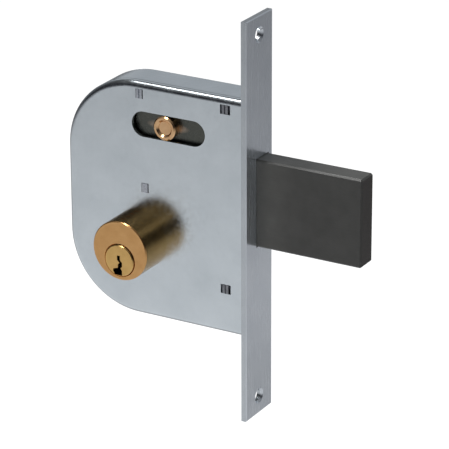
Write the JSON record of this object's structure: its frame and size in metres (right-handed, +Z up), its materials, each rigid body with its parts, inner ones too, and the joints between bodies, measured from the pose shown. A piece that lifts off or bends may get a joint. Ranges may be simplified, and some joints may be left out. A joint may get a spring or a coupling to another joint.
{
  "type": "gate mortise lock",
  "caption": "Pressed steel mortise lock for a gate, with a long forend, a flat sliding deadbolt thrown by a swing lever, a round pin cylinder and a small hand slide.",
  "frame": {"origin": "centre of the forend's back face, which seats on the gate, midway between its two fixing screws", "axes": "+X out of the forend, the way the bolt is thrown; -Y is the cylinder side; +Z up along the forend"},
  "size_m": [0.137, 0.0372, 0.178],
  "materials": {
    "zinc_case": "zinc plated, satin",
    "zinc_forend": "zinc plated, half bright",
    "staked_steel": "plated, peened over",
    "black_bolt": "blackened steel, satin",
    "satin_brass": "turned, satin",
    "stud_brass": "turned, bright",
    "pin_brass": "turned",
    "spring_steel": "spring steel",
    "dark_slide": "blackened sheet steel",
    "inner_steel": "plain steel, lightly oiled"
  },
  "bodies": {
    "case": {"front_cover": "zinc_case", "case_body": "zinc_case", "forend": "zinc_forend", "upper_front_post": "staked_steel", "lower_front_post": "staked_steel", "upper_rear_post": "staked_steel", "fixing_plate": "staked_steel", "guide_rivets": "staked_steel", "cylinder_body": "satin_brass", "chamber_caps": "satin_brass", "driver_pin_1": "pin_brass", "driver_pin_2": "pin_brass", "driver_pin_3": "pin_brass", "driver_pin_4": "pin_brass", "pin_spring_1": "spring_steel", "pin_spring_2": "spring_steel", "pin_spring_3": "spring_steel", "pin_spring_4": "spring_steel", "brake_spring": "spring_steel", "pivot_clip": "spring_steel", "upper_guide": "inner_steel", "lower_guide": "inner_steel", "bolt_keeper": "inner_steel", "keeper_screws": "inner_steel", "spring_anchor": "inner_steel", "lever_pivot": "inner_steel", "slide_channel": "inner_steel", "cylinder_screws": "inner_steel"},
    "bolt": {"deadbolt": "black_bolt"},
    "lever": {"swing_arm": "inner_steel", "gear_sector": "inner_steel", "lever_rivets": "inner_steel", "drive_pin": "inner_steel"},
    "plug": {"cylinder_plug": "satin_brass", "plug_clip": "spring_steel", "pinion": "inner_steel", "key_pin_1": "pin_brass", "key_pin_2": "pin_brass", "key_pin_3": "pin_brass", "key_pin_4": "pin_brass"},
    "hand_slide": {"slide_plate": "dark_slide", "brass_stud": "stud_brass"}
  },
  "joints": [
    {"name": "bolt_slide", "type": "slide", "parent": "case", "child": "bolt", "axis": [-1, 0, 0], "range_m": [0, 0.049]},
    {"name": "lever_swing", "type": "hinge", "parent": "case", "child": "lever", "pos_m": [-0.0525, 0, -0.04125], "axis": [0, -1, 0], "range_deg": [0, 72]},
    {"name": "plug_turn", "type": "hinge", "parent": "case", "child": "plug", "pos_m": [-0.0505, 0, -0.0199], "axis": [0, -1, 0], "range_deg": [-360, 0]},
    {"name": "hand_slide_travel", "type": "slide", "parent": "case", "child": "hand_slide", "axis": [1, 0, 0], "range_m": [-0.0106, 0.0138]}
  ],
  "couplings": [
    {"joint": "lever_swing", "follows": "bolt_slide", "rad_per_m": 25.646},
    {"joint": "plug_turn", "follows": "bolt_slide", "rad_per_m": -128.23}
  ]
}
